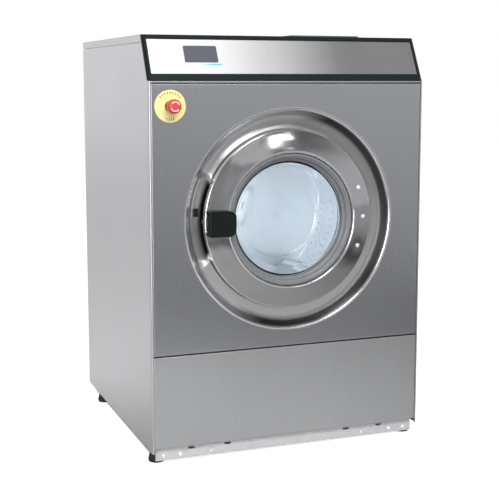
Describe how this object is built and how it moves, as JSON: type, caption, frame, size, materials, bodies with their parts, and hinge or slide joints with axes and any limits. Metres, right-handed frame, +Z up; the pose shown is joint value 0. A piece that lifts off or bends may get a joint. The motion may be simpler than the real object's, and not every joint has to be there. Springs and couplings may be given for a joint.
{
  "type": "washing machine",
  "caption": "Front-loading industrial washing machine in stainless steel with a sloping control panel, round glass door, emergency stop and sprung drum.",
  "frame": {"origin": "floor level under the middle of the overall box", "axes": "+Z up, front with the door faces -Y, +X to the right of a person facing the front"},
  "size_m": [0.85, 0.93, 1.2271],
  "materials": {
    "front_steel": "satin brushed",
    "side_steel": "satin",
    "door_steel": "polished",
    "galvanised": "dull spangle",
    "inner_steel": "satin",
    "shaft_steel": "machined",
    "black_plastic": "fine grain",
    "grey_plastic": "satin",
    "fascia_film": "printed film, silk",
    "display_dark": "gloss",
    "stop_yellow": "satin",
    "stop_red": "gloss",
    "black_rubber": "matt",
    "grey_rubber": "matt",
    "door_glass": "clear",
    "cast_iron": "primed",
    "cast_aluminium": "cast",
    "motor_paint": "semi gloss",
    "bearing_steel": "ground",
    "heater_steel": "heat tinted"
  },
  "bodies": {
    "cabinet": {"base_frame": "galvanised", "foot_front_left": "black_rubber", "foot_front_right": "black_rubber", "foot_rear_left": "black_rubber", "foot_rear_right": "black_rubber", "side_panel_left": "side_steel", "side_panel_right": "side_steel", "rear_panel": "galvanised", "rear_cover": "galvanised", "top_cover": "side_steel", "front_crossbar": "front_steel", "front_panel": "front_steel", "service_panel": "front_steel", "console_frame": "black_plastic", "console_fascia": "fascia_film", "display_window": "display_dark", "control_board": "grey_plastic", "stop_disc": "stop_yellow", "stop_collar": "black_plastic", "stop_contact_block": "grey_plastic", "soap_hopper": "grey_plastic", "hinge_bracket": "shaft_steel", "door_lock": "black_plastic", "door_seal": "grey_rubber", "suspension_springs": "shaft_steel", "damper_cylinders": "motor_paint", "drain_valve": "grey_plastic", "drain_hose": "black_rubber", "fill_hose": "black_rubber", "water_inlets": "grey_plastic", "inverter_box": "galvanised", "cable_gland": "black_plastic"},
    "door": {"door_ring": "door_steel", "glass_gasket": "grey_rubber", "door_glass": "door_glass", "door_clamp_ring": "inner_steel", "hinge_leaf": "shaft_steel", "hinge_screws": "shaft_steel", "handle_bracket": "shaft_steel"},
    "handle": {"door_handle": "black_plastic", "latch_tongue": "shaft_steel"},
    "tub": {"tub_shell": "inner_steel", "tub_front_ring": "inner_steel", "tub_cradle": "galvanised", "bearing_housing": "cast_iron", "shaft_bearings": "bearing_steel", "shaft_seal": "black_rubber", "motor": "motor_paint", "drive_belt": "black_rubber", "heating_elements": "heater_steel", "damper_rods": "shaft_steel"},
    "drum": {"drum_shell": "inner_steel", "drum_lifters": "inner_steel", "drum_spider": "cast_aluminium", "drum_shaft": "shaft_steel", "drum_pulley": "cast_aluminium"},
    "rotor": {"motor_pulley": "shaft_steel"},
    "soap_lid": {"soap_lid": "black_plastic"},
    "stop_stem": {"stop_stem": "grey_plastic"},
    "stop_head": {"stop_head": "stop_red"}
  },
  "joints": [
    {"name": "door_swing", "type": "hinge", "parent": "cabinet", "child": "door", "pos_m": [0.258, -0.392, 0.692], "axis": [0, 0, 1], "range_deg": [0, 120]},
    {"name": "handle_pull", "type": "hinge", "parent": "door", "child": "handle", "pos_m": [-0.254, -0.415, 0.692], "axis": [0, 0, -1], "range_deg": [0, 22], "stiffness_Nm_per_rad": 2},
    {"name": "tub_bounce", "type": "slide", "parent": "cabinet", "child": "tub", "axis": [0, 0, 1], "range_m": [-0.012, 0.012], "stiffness_N_per_m": 60000, "springref_m": 0.0232, "deforming": ["suspension_springs", "door_seal", "drain_hose", "fill_hose"]},
    {"name": "drum_spin", "type": "hinge", "parent": "tub", "child": "drum", "pos_m": [0, 0, 0.692], "axis": [0, 1, 0], "continuous": true},
    {"name": "motor_spin", "type": "hinge", "parent": "tub", "child": "rotor", "pos_m": [0.105, 0, 0.207], "axis": [0, 1, 0], "continuous": true},
    {"name": "stop_press", "type": "slide", "parent": "cabinet", "child": "stop_stem", "axis": [0, 1, 0], "range_m": [0, 0.006]},
    {"name": "stop_twist", "type": "hinge", "parent": "stop_stem", "child": "stop_head", "pos_m": [-0.3635, -0.445, 1.023], "axis": [0, 1, 0], "range_deg": [0, 40], "stiffness_Nm_per_rad": 0.05},
    {"name": "soap_lid_swing", "type": "hinge", "parent": "cabinet", "child": "soap_lid", "pos_m": [0.162, -0.073, 1.2237], "axis": [-1, 0, 0], "range_deg": [0, 95]}
  ],
  "couplings": [
    {"joint": "motor_spin", "follows": "drum_spin", "ratio": 4.5238}
  ]
}
